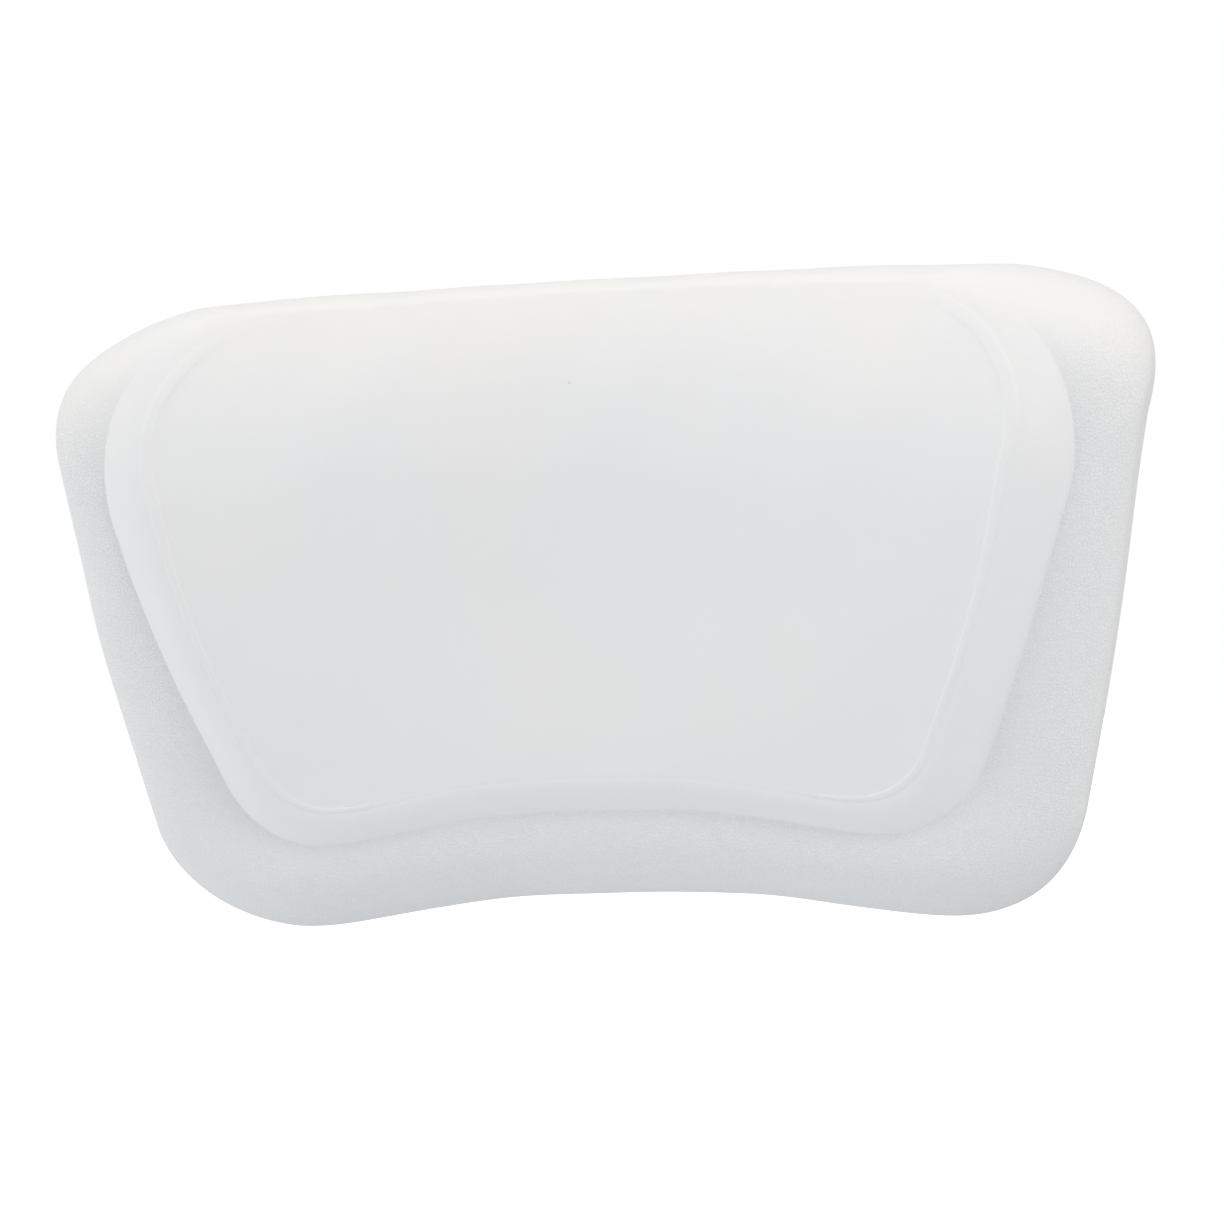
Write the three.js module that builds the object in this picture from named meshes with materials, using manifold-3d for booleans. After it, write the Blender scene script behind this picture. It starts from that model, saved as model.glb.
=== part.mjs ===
// Bath pillow: a moulded foam head rest with a grained skin, hung on four suction cups.
// Millimetres. Every piece is drawn with X to the right, Y up and Z out from the wall of the bath;
// the group at the end turns the drawing so that Z is up and the pillow faces -Y.
// The origin is on the wall, in the middle of the four suction cups.

import * as THREE from 'three';
import { mergeVertices } from 'three/addons/utils/BufferGeometryUtils.js';
import Module from 'manifold-3d';

// Outline of the moulding, seen from the front; the half widths are those of its straight sides
// carried on to the top and bottom edges
const bodyTopHalfWidth = 157;
const bodyBottomHalfWidth = 121;
const bodyTop = 89;
const bodyBottom = 83;
const bodyTopRadius = 33;
const bodyBottomRadius = 38;
const bottomArch = 8;
const topCrown = 1.5;

// Rim between the outline and the step of the raised pad
const rimTopWidth = 4;
const rimBottomWidth = 23.5;
const rimUnderWidth = 24;
const padTopRadius = 58;
const padBottomRadius = 26.5;

// Border between the step and the bead round the head hollow
const borderTopWidth = 23.5;
const borderBottomWidth = 8;
const borderUnderWidth = 10;
const borderOverWidth = 6;
const beadTopRadius = 43;
const beadBottomRadius = 30;

// How far the widest line of the moulding stands off its flat back
const topEdgeDepth = 27;
const sideEdgeTopDepth = 53;
const sideEdgeBottomDepth = 40;
const bottomEdgeDepth = 12.5;

// How far the flat back lies inside the outline
const backTopInset = 26;
const backSideInset = 9;
const backBottomInset = 7;

// Front: its depth at the bead, low down and at the level of the head, and how it rolls back above
const frontLowDepth = 58;
const frontHeadDepth = 70;
const headLevel = 31;
const topRoll = 15;
const hollowDepth = 8;
const hollowLevel = 11;

// The step, the shoulder above it and the bead
const stepSideDepth = 5;
const stepUnderDepth = 3.5;
const stepLedge = 1.6;
const shoulderSideDrop = 7;
const shoulderUnderDrop = 6.4;
const beadWidth = 3;
const beadProud = 0.8;

// Walls and clearances
const skinThickness = 2;
const fitGap = 0.3;
const cutOverrun = 1;

// Suction cups, and where they sit on the back
const backStandOff = 11;
const upperCupAcross = 84;
const lowerCupAcross = 60;
const cupLevel = 37;
const cupRadius = 25;
const cupRimWidth = 2.5;
const cupRimThickness = 1.2;
const cupHollowDepth = 6.5;
const cupCrownThickness = 1.8;
const cupBellDepth = 8.6;
const cupNeckRadius = 8;
const cupNeckWall = 3.4;
const tabReach = 6;
const tabHalfWidth = 5;
const tabThickness = 1.4;
const tabLift = 0.4;

// Studs: a barbed pin in the cup, a flange, a neck in the keyhole and a head behind it
const barbRadius = 3.8;
const barbLength = 1.7;
const barbTipRadius = 2.4;
const shankRadius = 2.6;
const flangeThickness = 1.5;
const studNeckRadius = 3.7;
const headRadius = 7;
const headThickness = 2.5;
const headPlay = 0.5;

// Keyhole sockets in the back
const keyholeTravel = 14;
const entryPlay = 0.75;
const keyholeFloor = 2.4;
const recessPlay = 1;
const socketWall = 2;
const socketFlangeWidth = 3.5;
const socketShoulderWidth = 2;

// Stiffener plate round the sockets, and the caps that clamp it
const plateThickness = 3;
const plateBorder = 5;
const plateCornerRadius = 12;
const lockHoleRadius = 6;
const capOverlap = 2.2;
const capThickness = 1.6;
const capPlugDepth = 1.2;

// Number of steps round half the outline, and round the turned pieces
const bottomSteps = 4;
const bottomCornerSteps = 4;
const sideSteps = 3;
const topCornerSteps = 5;
const topSteps = 4;
const slotEndSteps = 6;
const bellSteps = 5;
const lockHoleSteps = 6;
const cupSides = 28;
const studSides = 18;

// Shares of each stretch of the section at which the surface has a ring of points
const backShares = [0, 0.35, 0.7];
const rimShares = [0, 0.35, 0.7, 1];
const borderShares = [0.5, 1];
const dishShares = [0.25, 0.5, 0.75];
const topStepShare = 0.45;
const topPadShare = 0.5;
const rollPullShare = 0.75;
const edgePullShare = 0.5;
const lowestRiseShare = -0.5;

// Depths from the wall, stacked from the cup inwards
const boreEnd = cupHollowDepth + cupCrownThickness;
const barbTip = boreEnd + fitGap;
const barbEnd = barbTip + barbLength;
const chamberEnd = barbEnd + fitGap;
const cupNeckEnd = chamberEnd + cupNeckWall;
const flangeStart = cupNeckEnd + fitGap;
const flangeEnd = flangeStart + flangeThickness;
const floorStart = flangeEnd + fitGap;
const floorEnd = floorStart + keyholeFloor;
const headStart = floorEnd + fitGap;
const headEnd = headStart + headThickness;
const plugStart = headEnd + headPlay;
const socketEnd = plugStart + capPlugDepth;
const capStart = socketEnd + fitGap;
const capEnd = capStart + capThickness;
const plateStart = socketEnd - plateThickness;
const shoulderEnd = plateStart - fitGap;
const flangeFaceEnd = backStandOff + skinThickness;

// Radii that follow from the stud and the keyhole
const flangeRadius = cupNeckRadius;
const slotHalfWidth = studNeckRadius + fitGap;
const entryRadius = headRadius + entryPlay;
const recessRadius = flangeRadius + recessPlay;
const socketRadius = recessRadius + socketWall;
const shoulderRadius = socketRadius + socketShoulderWidth;
const socketFlangeRadius = socketRadius + socketFlangeWidth;
const plateHoleRadius = socketRadius + fitGap;
const capRadius = plateHoleRadius + capOverlap;

const cupPlaces = [
  { name: 'upper_left', x: -upperCupAcross, y: cupLevel },
  { name: 'upper_right', x: upperCupAcross, y: cupLevel },
  { name: 'lower_left', x: -lowerCupAcross, y: -cupLevel },
  { name: 'lower_right', x: lowerCupAcross, y: -cupLevel },
];

const materials = {
  skin: new THREE.MeshStandardMaterial({ color: 0xecebe8, roughness: 0.55, metalness: 0 }),
  foam: new THREE.MeshStandardMaterial({ color: 0xe6e2d8, roughness: 0.95, metalness: 0 }),
  insert: new THREE.MeshStandardMaterial({ color: 0xdcdddb, roughness: 0.45, metalness: 0 }),
  stud: new THREE.MeshStandardMaterial({ color: 0xe8e8e6, roughness: 0.35, metalness: 0 }),
  cup: new THREE.MeshStandardMaterial({ color: 0xd9dee0, roughness: 0.2, metalness: 0 }),
};

// Solids and meshes

const wasm = await Module();
wasm.setup();

function solidOf(geometry) {
  const bare = geometry.clone();
  bare.deleteAttribute('normal');
  bare.deleteAttribute('uv');
  const merged = mergeVertices(bare);
  const vertProperties = new Float32Array(merged.attributes.position.array);
  const triVerts = new Uint32Array(merged.index.array);
  return new wasm.Manifold(new wasm.Mesh({ numProp: 3, vertProperties, triVerts }));
}

function geometryOf(solid) {
  const mesh = solid.getMesh();
  const geometry = new THREE.BufferGeometry();
  geometry.setAttribute('position', new THREE.BufferAttribute(mesh.vertProperties, 3));
  geometry.setIndex(new THREE.BufferAttribute(mesh.triVerts, 1));
  geometry.computeVertexNormals();
  return geometry;
}

function meshOf(name, geometry, material) {
  const mesh = new THREE.Mesh(geometry, material);
  mesh.name = name;
  return mesh;
}

// A flat shape made solid between two depths from the wall
function slab(shape, from, to, curveSegments) {
  const depth = to - from;
  const geometry = new THREE.ExtrudeGeometry(shape, { depth, bevelEnabled: false, curveSegments });
  geometry.translate(0, 0, from);
  return solidOf(geometry);
}

// A profile of [radius, depth] pairs turned about a line square to the wall
function turned(profile, sides) {
  const points = profile.map(([radius, depth]) => new THREE.Vector2(radius, depth));
  const geometry = new THREE.LatheGeometry(points, sides);
  geometry.rotateX(Math.PI / 2);
  return geometry;
}

// The round-ended path of a stud in its keyhole, from its rest down to the entry, grown by a radius
function slotShape(radius) {
  const shape = new THREE.Shape();
  shape.absarc(0, 0, radius, 0, Math.PI, false);
  shape.absarc(0, -keyholeTravel, radius, Math.PI, 2 * Math.PI, false);
  return shape;
}

function slotSlab(radius, from, to) {
  return slab(slotShape(radius), from, to, slotEndSteps);
}

function discSlab(radius, y, from, to) {
  const shape = new THREE.Shape();
  shape.absarc(0, y, radius, 0, 2 * Math.PI, false);
  return slab(shape, from, to, 2 * slotEndSteps);
}

// The moulding's outlines: half a rounded trapezoid with an arched foot, mirrored

function smoothStep(share) {
  return share * share * (3 - 2 * share);
}

function halfOutline(size) {
  const side = new THREE.Vector2(size.topHalfWidth - size.bottomHalfWidth, size.top + size.bottom);
  side.normalize();
  const sideAngle = -Math.asin(side.x);
  const bottomRun = size.bottomRadius / Math.tan(Math.acos(-side.x) / 2);
  const topRun = size.topRadius / Math.tan(Math.acos(side.x) / 2);
  const bottomCentreY = size.bottomRadius - size.bottom;
  const bottomCentre = new THREE.Vector2(size.bottomHalfWidth - bottomRun, bottomCentreY);
  const topCentre = new THREE.Vector2(size.topHalfWidth - topRun, size.top - size.topRadius);
  const facing = (angle) => new THREE.Vector2(Math.cos(angle), Math.sin(angle));
  const sideFoot = bottomCentre.clone().addScaledVector(facing(sideAngle), size.bottomRadius);
  const sideHead = topCentre.clone().addScaledVector(facing(sideAngle), size.topRadius);
  const points = [];
  const add = (at, angle, topShare, bottomShare, upShare) =>
    points.push({ at, outward: facing(angle), topShare, bottomShare, upShare });
  const addOnArc = (centre, radius, angle, topShare, bottomShare, upShare) =>
    add(centre.clone().addScaledVector(facing(angle), radius), angle, topShare, bottomShare, upShare);
  for (let i = 0; i < bottomSteps; i += 1) {
    const share = i / bottomSteps;
    const arch = bottomArch * (0.5 + 0.5 * Math.cos(Math.PI * share));
    add(new THREE.Vector2(bottomCentre.x * share, arch - size.bottom), -Math.PI / 2, 0, 1, 0);
  }
  for (let i = 0; i < bottomCornerSteps; i += 1) {
    const share = i / bottomCornerSteps;
    const angle = THREE.MathUtils.lerp(-Math.PI / 2, sideAngle, share);
    addOnArc(bottomCentre, size.bottomRadius, angle, 0, 1 - smoothStep(share), 0);
  }
  for (let i = 0; i < sideSteps; i += 1) {
    const share = i / sideSteps;
    add(sideFoot.clone().lerp(sideHead, share), sideAngle, 0, 0, share);
  }
  for (let i = 0; i < topCornerSteps; i += 1) {
    const share = i / topCornerSteps;
    const angle = THREE.MathUtils.lerp(sideAngle, Math.PI / 2, share);
    addOnArc(topCentre, size.topRadius, angle, smoothStep(share), 0, 1);
  }
  for (let i = 0; i <= topSteps; i += 1) {
    const share = i / topSteps;
    const crown = topCrown * (0.5 - 0.5 * Math.cos(Math.PI * share));
    add(new THREE.Vector2(topCentre.x * (1 - share), size.top + crown), Math.PI / 2, 1, 0, 1);
  }
  return points;
}

function outline(size) {
  const half = halfOutline(size);
  const mirrored = half.slice(1, -1).reverse();
  const flip = (vector) => new THREE.Vector2(-vector.x, vector.y);
  const flipPoint = (point) => ({ ...point, at: flip(point.at), outward: flip(point.outward) });
  return [...half, ...mirrored.map(flipPoint)];
}

const bodySize = {
  topHalfWidth: bodyTopHalfWidth,
  bottomHalfWidth: bodyBottomHalfWidth,
  top: bodyTop,
  bottom: bodyBottom,
  topRadius: bodyTopRadius,
  bottomRadius: bodyBottomRadius,
};
const padSize = {
  topHalfWidth: bodySize.topHalfWidth - rimTopWidth,
  bottomHalfWidth: bodySize.bottomHalfWidth - rimBottomWidth,
  top: bodySize.top,
  bottom: bodySize.bottom - rimUnderWidth,
  topRadius: padTopRadius,
  bottomRadius: padBottomRadius,
};
const beadSize = {
  topHalfWidth: padSize.topHalfWidth - borderTopWidth,
  bottomHalfWidth: padSize.bottomHalfWidth - borderBottomWidth,
  top: padSize.top - borderOverWidth,
  bottom: padSize.bottom - borderUnderWidth,
  topRadius: beadTopRadius,
  bottomRadius: beadBottomRadius,
};
const hollowCentre = new THREE.Vector2(0, hollowLevel);

// The front's depth off the flat back at a height, before the hollow is pressed into it
function frontDepth(y) {
  const upShare = (y + beadSize.bottom) / (headLevel + beadSize.bottom);
  const riseShare = THREE.MathUtils.clamp(upShare, lowestRiseShare, 1);
  const rollShare = Math.max(0, (y - headLevel) / (beadSize.top - headLevel));
  const rise = (frontHeadDepth - frontLowDepth) * Math.sin((Math.PI / 2) * riseShare);
  return frontLowDepth + rise - topRoll * rollShare * rollShare;
}

function frontSlope(y) {
  const rollLength = beadSize.top - headLevel;
  return (-2 * topRoll * Math.max(0, y - headLevel)) / (rollLength * rollLength);
}

// One section through the moulding, from its flat back round the edge to the head hollow
function sectionAt(edge, pad, bead) {
  const sideShare = 1 - edge.topShare - edge.bottomShare;
  const weigh = (top, side, bottom) => top * edge.topShare + side * sideShare + bottom * edge.bottomShare;
  const point = (at, depth) => new THREE.Vector3(at.x, at.y, backStandOff + depth);
  const sideEdgeDepth = THREE.MathUtils.lerp(sideEdgeBottomDepth, sideEdgeTopDepth, edge.upShare);
  const edgeDepth = weigh(topEdgeDepth, sideEdgeDepth, bottomEdgeDepth);
  const beadDepth = frontDepth(bead.at.y);
  const shoulderDepth = frontDepth(pad.at.y) - weigh(0, shoulderSideDrop, shoulderUnderDrop);
  const footDepth = shoulderDepth - weigh(0, stepSideDepth, stepUnderDepth);
  const backInset = weigh(backTopInset, backSideInset, backBottomInset);
  const backAt = edge.at.clone().addScaledVector(edge.outward, -backInset);
  const across = edge.at.clone().sub(bead.at);
  const rollTangent = new THREE.Vector3(across.x, across.y, frontSlope(bead.at.y) * across.y);
  const rollStart = point(edge.at, edgeDepth);
  const rollEnd = point(bead.at, beadDepth);
  const roll = new THREE.CubicBezierCurve3(
    rollStart,
    rollStart.clone().add(new THREE.Vector3(0, 0, edgePullShare * (beadDepth - edgeDepth))),
    rollEnd.clone().addScaledVector(rollTangent, rollPullShare),
    rollEnd,
  );
  const blend = (sidePoint, rollShare) => sidePoint.lerp(roll.getPoint(rollShare), edge.topShare);
  const ledgeShare = stepLedge / pad.at.distanceTo(bead.at);
  const section = [];
  for (const share of backShares) {
    const angle = (Math.PI / 2) * share;
    section.push(point(backAt.clone().lerp(edge.at, Math.sin(angle)), edgeDepth * (1 - Math.cos(angle))));
  }
  for (const share of rimShares) {
    const angle = (Math.PI / 2) * share;
    const at = edge.at.clone().lerp(pad.at, 1 - Math.cos(angle));
    const depth = THREE.MathUtils.lerp(edgeDepth, footDepth, Math.sin(angle));
    section.push(blend(point(at, depth), topStepShare * share));
  }
  section.push(blend(point(pad.at.clone().lerp(bead.at, ledgeShare), shoulderDepth), topPadShare));
  for (const share of borderShares) {
    const at = pad.at.clone().lerp(bead.at, THREE.MathUtils.lerp(ledgeShare, 1, share));
    const depth = THREE.MathUtils.lerp(shoulderDepth, beadDepth, Math.sin((Math.PI / 2) * share));
    section.push(blend(point(at, depth), THREE.MathUtils.lerp(topPadShare, 1, share)));
  }
  const inHollow = (inShare, proud) => {
    const outShare = 1 - inShare;
    const at = hollowCentre.clone().lerp(bead.at, outShare);
    const pressed = hollowDepth * (1 - outShare * outShare) ** (1 + edge.topShare);
    return point(at, frontDepth(at.y) - pressed + proud);
  };
  const beadShare = beadWidth / bead.at.distanceTo(hollowCentre);
  section.push(inHollow(beadShare / 2, beadProud * (1 - edge.topShare)));
  section.push(inHollow(beadShare, 0));
  for (const share of dishShares) {
    section.push(inHollow(THREE.MathUtils.lerp(beadShare, 1, share), 0));
  }
  return section;
}

const edgeLine = outline(bodySize);
const padLine = outline(padSize);
const beadLine = outline(beadSize);
const sections = edgeLine.map((edge, i) => sectionAt(edge, padLine[i], beadLine[i]));
const backCentre = new THREE.Vector3(0, 0, backStandOff);
const frontCentre = new THREE.Vector3(
  hollowCentre.x, hollowCentre.y, backStandOff + frontDepth(hollowCentre.y) - hollowDepth,
);

// Rings of the section that the inner faces of the skin follow: all but those that only round it off
const ringCount = sections[0].length;
const stepRing = backShares.length + rimShares.length;
const beadRing = stepRing + borderShares.length;
const skippedRings = [1, stepRing + 1, beadRing + 1, beadRing + 2, beadRing + 3];
const outerRings = [...Array(ringCount).keys()];
const innerRings = outerRings.filter((ring) => !skippedRings.includes(ring));

// A closed surface through the rings, its quads split alike on the left and on the right
function loft(rows, first, last) {
  const ringLength = rows[0].length;
  const points = [first, ...rows.flat(), last];
  const lastIndex = points.length - 1;
  const at = (ring, i) => 1 + ring * ringLength + (i % ringLength);
  const triangles = [];
  for (let i = 0; i < ringLength; i += 1) {
    const onRight = i < ringLength / 2;
    triangles.push(0, at(0, i + 1), at(0, i));
    for (let ring = 0; ring + 1 < rows.length; ring += 1) {
      const low = [at(ring, i), at(ring, i + 1)];
      const high = [at(ring + 1, i), at(ring + 1, i + 1)];
      triangles.push(low[0], low[1], onRight ? high[1] : high[0]);
      triangles.push(onRight ? low[0] : low[1], high[1], high[0]);
    }
    triangles.push(at(rows.length - 1, i), at(rows.length - 1, i + 1), lastIndex);
  }
  const geometry = new THREE.BufferGeometry().setFromPoints(points);
  geometry.setIndex(triangles);
  geometry.computeVertexNormals();
  return geometry;
}

const outerRows = outerRings.map((ring) => sections.map((section) => section[ring]));
const outerSurface = loft(outerRows, backCentre, frontCentre);

// The moulding with an even depth taken off all round, its back kept flat
function mouldingSolid(rings, depthIn) {
  const normals = outerSurface.attributes.normal;
  const square = new THREE.Vector3(0, 0, -1);
  const moved = (point, ring, i) => {
    const normal = new THREE.Vector3().fromBufferAttribute(normals, 1 + ring * sections.length + i);
    return point.clone().addScaledVector(ring === 0 ? square : normal, -depthIn);
  };
  const rows = rings.map((ring) => sections.map((section, i) => moved(section[ring], ring, i)));
  const back = backCentre.clone().addScaledVector(square, -depthIn);
  const front = frontCentre.clone().addScaledVector(square, depthIn);
  return solidOf(loft(rows, back, front));
}

// One copy of a solid at each suction cup, joined
function atEachCup(solid) {
  const copies = cupPlaces.map((place) => solid.translate([place.x, place.y, 0]));
  return copies.reduce((joined, copy) => joined.add(copy));
}

// Stiffener plate

const plateSize = {
  topHalfWidth: upperCupAcross + capRadius + plateBorder,
  bottomHalfWidth: lowerCupAcross + capRadius + plateBorder,
  top: cupLevel + capRadius + plateBorder,
  bottom: cupLevel + keyholeTravel + capRadius + plateBorder,
};
const lockHolePlaces = [
  [0, cupLevel],
  [0, 0],
  [0, -cupLevel],
  [(upperCupAcross + lowerCupAcross) / 2, -keyholeTravel / 2],
  [-(upperCupAcross + lowerCupAcross) / 2, -keyholeTravel / 2],
];

// The plate's outline grown by a clearance, as straight sides joined by rounded corners
function plateShape(grown) {
  const corners = [
    [plateSize.bottomHalfWidth, -plateSize.bottom],
    [plateSize.topHalfWidth, plateSize.top],
    [-plateSize.topHalfWidth, plateSize.top],
    [-plateSize.bottomHalfWidth, -plateSize.bottom],
  ].map(([x, y]) => new THREE.Vector2(x + grown * Math.sign(x), y + grown * Math.sign(y)));
  const shape = new THREE.Shape();
  corners.forEach((corner, i) => {
    const before = corners[(i + corners.length - 1) % corners.length];
    const after = corners[(i + 1) % corners.length];
    const start = corner.clone().add(before.clone().sub(corner).setLength(plateCornerRadius));
    const end = corner.clone().add(after.clone().sub(corner).setLength(plateCornerRadius));
    if (i === 0) {
      shape.moveTo(start.x, start.y);
    } else {
      shape.lineTo(start.x, start.y);
    }
    shape.quadraticCurveTo(corner.x, corner.y, end.x, end.y);
  });
  shape.closePath();
  return shape;
}

function plateSolid(grown) {
  const shape = plateShape(grown);
  for (const [x, y] of lockHolePlaces) {
    const hole = new THREE.Path();
    hole.absarc(x, y, lockHoleRadius - grown, 0, 2 * Math.PI, true);
    shape.holes.push(hole);
  }
  return slab(shape, plateStart - grown, plateStart + plateThickness + grown, lockHoleSteps);
}

function stiffenerPlate() {
  const openings = atEachCup(slotSlab(plateHoleRadius, plateStart - cutOverrun, socketEnd + cutOverrun));
  return meshOf('stiffener_plate', geometryOf(plateSolid(0).subtract(openings)), materials.insert);
}

// Skin and foam of the moulding

function outerSkin() {
  const openingRadius = socketFlangeRadius + fitGap;
  const opening = slotSlab(openingRadius, backStandOff - cutOverrun, flangeFaceEnd + cutOverrun);
  const shell = solidOf(outerSurface).subtract(mouldingSolid(innerRings, skinThickness));
  return meshOf('outer_skin', geometryOf(shell.subtract(atEachCup(opening))), materials.skin);
}

function foamCore() {
  const socketRoom = slotSlab(shoulderRadius + fitGap, flangeFaceEnd - cutOverrun, shoulderEnd + fitGap);
  const capRoom = slotSlab(capRadius + fitGap, plateStart, capEnd + fitGap);
  const rooms = atEachCup(socketRoom.add(capRoom)).add(plateSolid(fitGap));
  const core = mouldingSolid(innerRings, skinThickness + fitGap).subtract(rooms);
  return meshOf('foam_core', geometryOf(core), materials.foam);
}

// Fastening: a keyhole socket with its cap, and a stud in a suction cup

function keyholeSocket(place) {
  const flange = slotSlab(socketFlangeRadius, backStandOff, flangeFaceEnd);
  const shoulder = slotSlab(shoulderRadius, backStandOff, shoulderEnd);
  const spigot = slotSlab(socketRadius, backStandOff, socketEnd);
  const recess = slotSlab(recessRadius, backStandOff - cutOverrun, floorStart);
  const pocket = slotSlab(recessRadius, floorEnd, socketEnd + cutOverrun);
  const slot = slotSlab(slotHalfWidth, floorStart - cutOverrun, floorEnd + cutOverrun);
  const entry = discSlab(entryRadius, -keyholeTravel, floorStart - cutOverrun, floorEnd + cutOverrun);
  const body = flange.add(shoulder).add(spigot).subtract(recess).subtract(pocket);
  const socket = body.subtract(slot).subtract(entry);
  const mesh = meshOf(`keyhole_socket_${place.name}`, geometryOf(socket), materials.insert);
  mesh.position.set(place.x, place.y, 0);
  return mesh;
}

function socketCap(place) {
  const lid = slotSlab(capRadius, capStart, capEnd);
  const plug = slotSlab(recessRadius - fitGap, plugStart, capEnd);
  const mesh = meshOf(`socket_cap_${place.name}`, geometryOf(lid.add(plug)), materials.insert);
  mesh.position.set(place.x, place.y, 0);
  return mesh;
}

function cupStud(place) {
  const profile = [
    [0, barbTip],
    [barbTipRadius, barbTip],
    [barbRadius, (barbTip + barbEnd) / 2],
    [barbRadius, barbEnd],
    [shankRadius, barbEnd],
    [shankRadius, flangeStart],
    [flangeRadius, flangeStart],
    [flangeRadius, flangeEnd],
    [studNeckRadius, flangeEnd],
    [studNeckRadius, headStart],
    [headRadius, headStart],
    [headRadius, headEnd],
    [0, headEnd],
  ];
  const mesh = meshOf(`cup_stud_${place.name}`, turned(profile, studSides), materials.stud);
  mesh.position.set(place.x, place.y, 0);
  return mesh;
}

// The bell's two faces are quarter ellipses: the hollow's runs to the axis, the dome's ends at the neck
function suctionCup(place) {
  const hollowRadius = cupRadius - cupRimWidth;
  const domeRise = cupBellDepth - cupRimThickness;
  const neckAngle = Math.acos(cupNeckRadius / cupRadius);
  const hollow = [[0, cupHollowDepth]];
  const dome = [];
  for (let i = 1; i <= bellSteps; i += 1) {
    const angle = (Math.PI / 2) * (1 - i / bellSteps);
    hollow.push([hollowRadius * Math.cos(angle), cupHollowDepth * Math.sin(angle)]);
  }
  for (let i = 0; i <= bellSteps; i += 1) {
    const angle = neckAngle * (i / bellSteps);
    dome.push([cupRadius * Math.cos(angle), cupRimThickness + domeRise * Math.sin(angle)]);
  }
  const bore = [
    [cupNeckRadius, cupNeckEnd],
    [shankRadius + fitGap, cupNeckEnd],
    [shankRadius + fitGap, chamberEnd],
    [barbRadius + fitGap, chamberEnd],
    [barbRadius + fitGap, boreEnd],
    [0, boreEnd],
  ];
  const bell = solidOf(turned([...hollow, [cupRadius, 0], ...dome, ...bore], cupSides));
  const tab = new THREE.Shape();
  const tabRoot = cupRadius - cupRimWidth / 2;
  tab.moveTo(tabHalfWidth, -tabRoot);
  tab.lineTo(-tabHalfWidth, -tabRoot);
  tab.absarc(0, tabHalfWidth - cupRadius - tabReach, tabHalfWidth, Math.PI, 2 * Math.PI, false);
  const tabSolid = slab(tab, tabLift, tabLift + tabThickness, slotEndSteps);
  const mesh = meshOf(`suction_cup_${place.name}`, geometryOf(bell.add(tabSolid)), materials.cup);
  mesh.position.set(place.x, place.y, 0);
  return mesh;
}

const drawing = new THREE.Group();
drawing.add(outerSkin(), foamCore(), stiffenerPlate());
for (const place of cupPlaces) {
  drawing.add(keyholeSocket(place), socketCap(place), cupStud(place), suctionCup(place));
}
drawing.rotation.x = Math.PI / 2;

const bathPillow = new THREE.Group();
bathPillow.add(drawing);
export default bathPillow;
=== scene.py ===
import math

import bmesh
import bpy
import numpy as np
from mathutils import Matrix, Vector


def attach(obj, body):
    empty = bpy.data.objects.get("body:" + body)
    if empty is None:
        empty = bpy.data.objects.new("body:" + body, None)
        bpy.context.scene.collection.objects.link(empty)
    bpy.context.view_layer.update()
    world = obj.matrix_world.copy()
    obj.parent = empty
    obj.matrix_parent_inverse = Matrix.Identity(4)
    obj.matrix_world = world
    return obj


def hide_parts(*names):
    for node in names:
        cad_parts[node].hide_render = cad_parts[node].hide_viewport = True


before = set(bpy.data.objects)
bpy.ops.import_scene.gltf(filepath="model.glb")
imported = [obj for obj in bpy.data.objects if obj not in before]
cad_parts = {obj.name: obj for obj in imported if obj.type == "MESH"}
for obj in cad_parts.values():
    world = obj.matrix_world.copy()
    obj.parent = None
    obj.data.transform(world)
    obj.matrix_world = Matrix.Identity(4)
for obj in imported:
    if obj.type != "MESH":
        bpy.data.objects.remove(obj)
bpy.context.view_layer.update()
print("frame loaded:", len(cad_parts), "nodes")

mm = 0.001
cupPlaces = {  # x and z of each suction cup's axis
    "upper_left": (-84, 37),
    "upper_right": (84, 37),
    "lower_left": (-60, -37),
    "lower_right": (60, -37),
}
slotTravel = 14.0  # how far a stud slides down its keyhole


# Small helpers

def makeActive(piece):
    bpy.ops.object.select_all(action="DESELECT")
    piece.select_set(True)
    bpy.context.view_layer.objects.active = piece


def startEdit(piece, kind):
    makeActive(piece)
    bpy.ops.object.mode_set(mode="EDIT")
    bpy.ops.mesh.select_mode(type=kind)


def endEdit():
    bpy.ops.object.mode_set(mode="OBJECT")


def selectAll():
    bpy.ops.mesh.select_all(action="SELECT")


def extrudeBy(x, y):
    bpy.ops.mesh.extrude_region_move(TRANSFORM_OT_translate={"value": (x, y, 0)})


def settle():
    bpy.ops.object.transform_apply(location=True, rotation=True, scale=True)


def pickVerts(piece, test):
    work = bmesh.from_edit_mesh(piece.data)
    for vert in work.verts:
        vert.select = test(vert.co)
    work.select_flush_mode()
    bmesh.update_edit_mesh(piece.data)


def pickFaces(piece, test):
    work = bmesh.from_edit_mesh(piece.data)
    for face in work.faces:
        face.select_set(False)
    for face in work.faces:
        if test(face):
            face.select_set(True)
    bmesh.update_edit_mesh(piece.data)


def applyModifier(piece, kind, **settings):
    makeActive(piece)
    modifier = piece.modifiers.new(kind.lower(), kind)
    for key, value in settings.items():
        setattr(modifier, key, value)
    bpy.ops.object.modifier_apply(modifier=modifier.name)


def applyBoolean(piece, other, operation="DIFFERENCE"):
    applyModifier(piece, "BOOLEAN", object=other, operation=operation, solver="EXACT")
    discard(other)


def bevelEdges(piece, width, degrees):
    limit = math.radians(degrees)
    applyModifier(piece, "BEVEL", width=width * mm, segments=3, limit_method="ANGLE", angle_limit=limit)


def discard(piece):
    bpy.data.meshes.remove(piece.data)


def smoothShade(piece, degrees):
    makeActive(piece)
    bpy.ops.object.shade_smooth_by_angle(angle=math.radians(degrees), keep_sharp_edges=True)


# Camera where the photograph was taken from

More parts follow.
